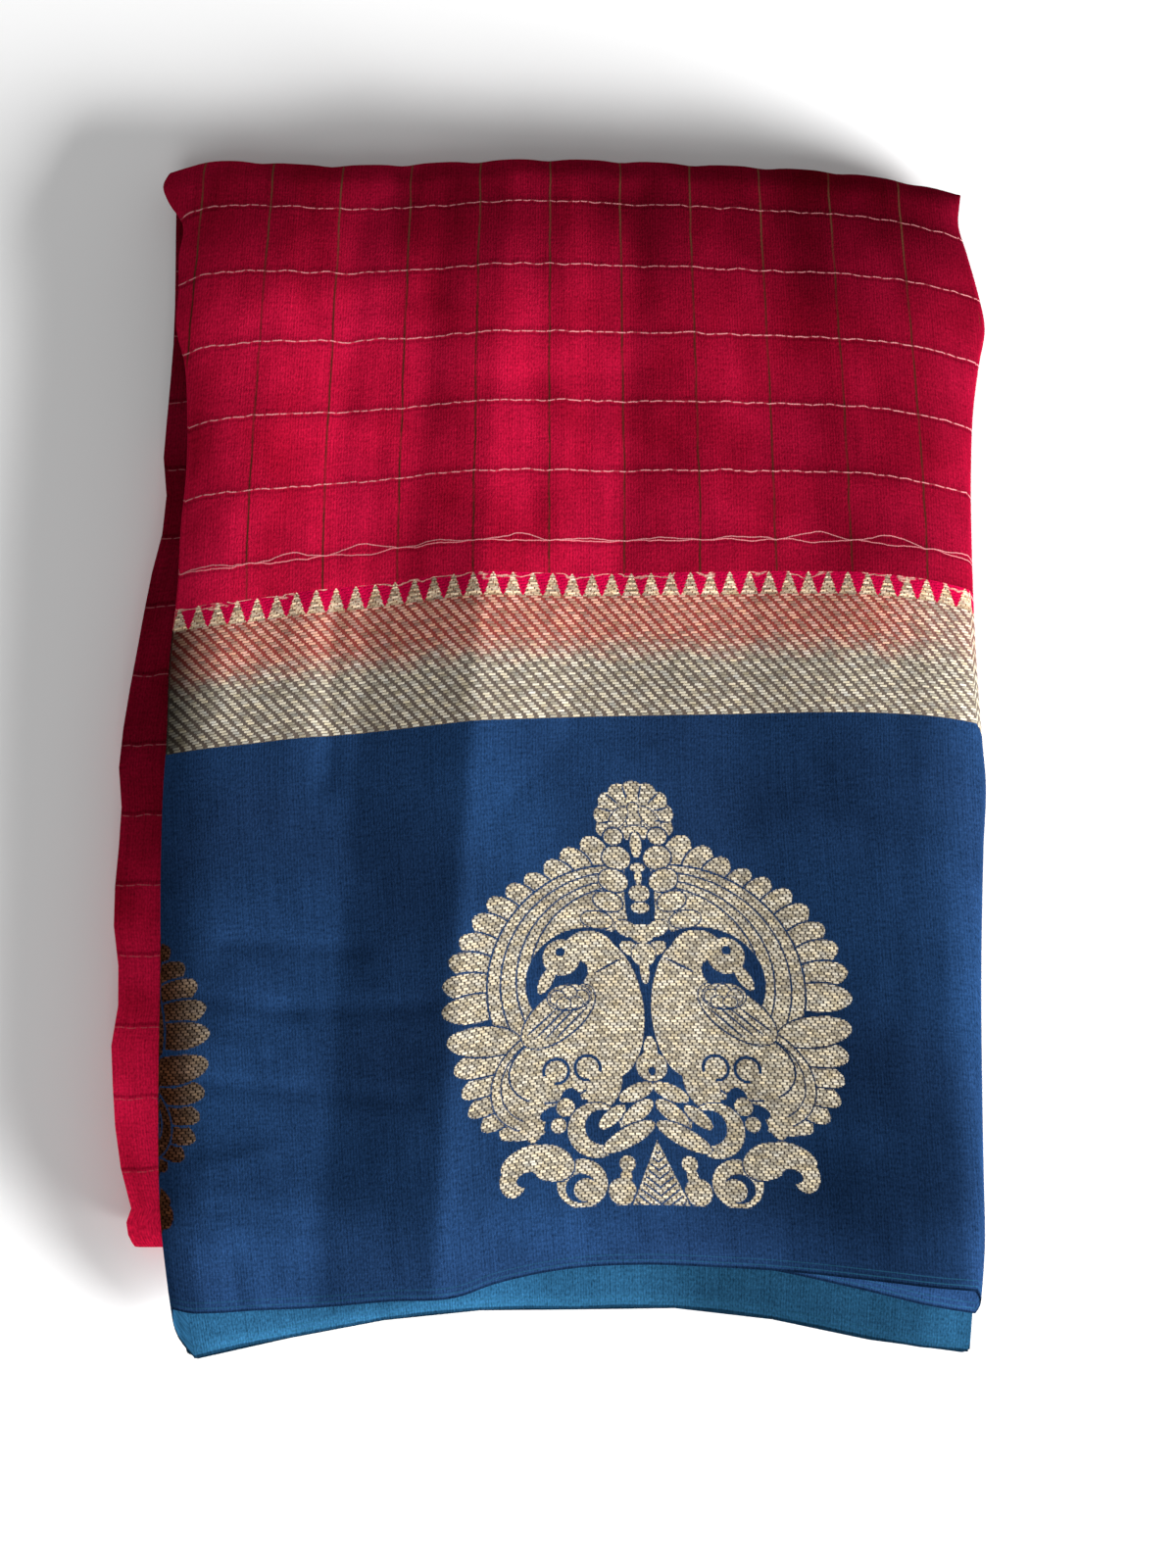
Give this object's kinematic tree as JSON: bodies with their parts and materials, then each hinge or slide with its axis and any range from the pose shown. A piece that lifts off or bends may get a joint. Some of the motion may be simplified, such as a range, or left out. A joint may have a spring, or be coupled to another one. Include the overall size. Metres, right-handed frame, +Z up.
{
  "type": "folded sari",
  "caption": "Folded sari: one long woven cloth pleated into a packet and folded in three, showing a checked field, a gold band and a wide border with a bird medallion.",
  "frame": {"origin": "middle of the packet's outline, on the surface it rests on", "axes": "+Z up out of the top layer, -Y towards the border's edge, +Y towards the back fold, +X to the right as seen from the border"},
  "size_m": [0.2974, 0.418, 0.0404],
  "materials": {
    "cloth": "silk and cotton weave with metallic thread"
  },
  "bodies": {
    "root": {"sari_cloth": "cloth"}
  },
  "joints": []
}
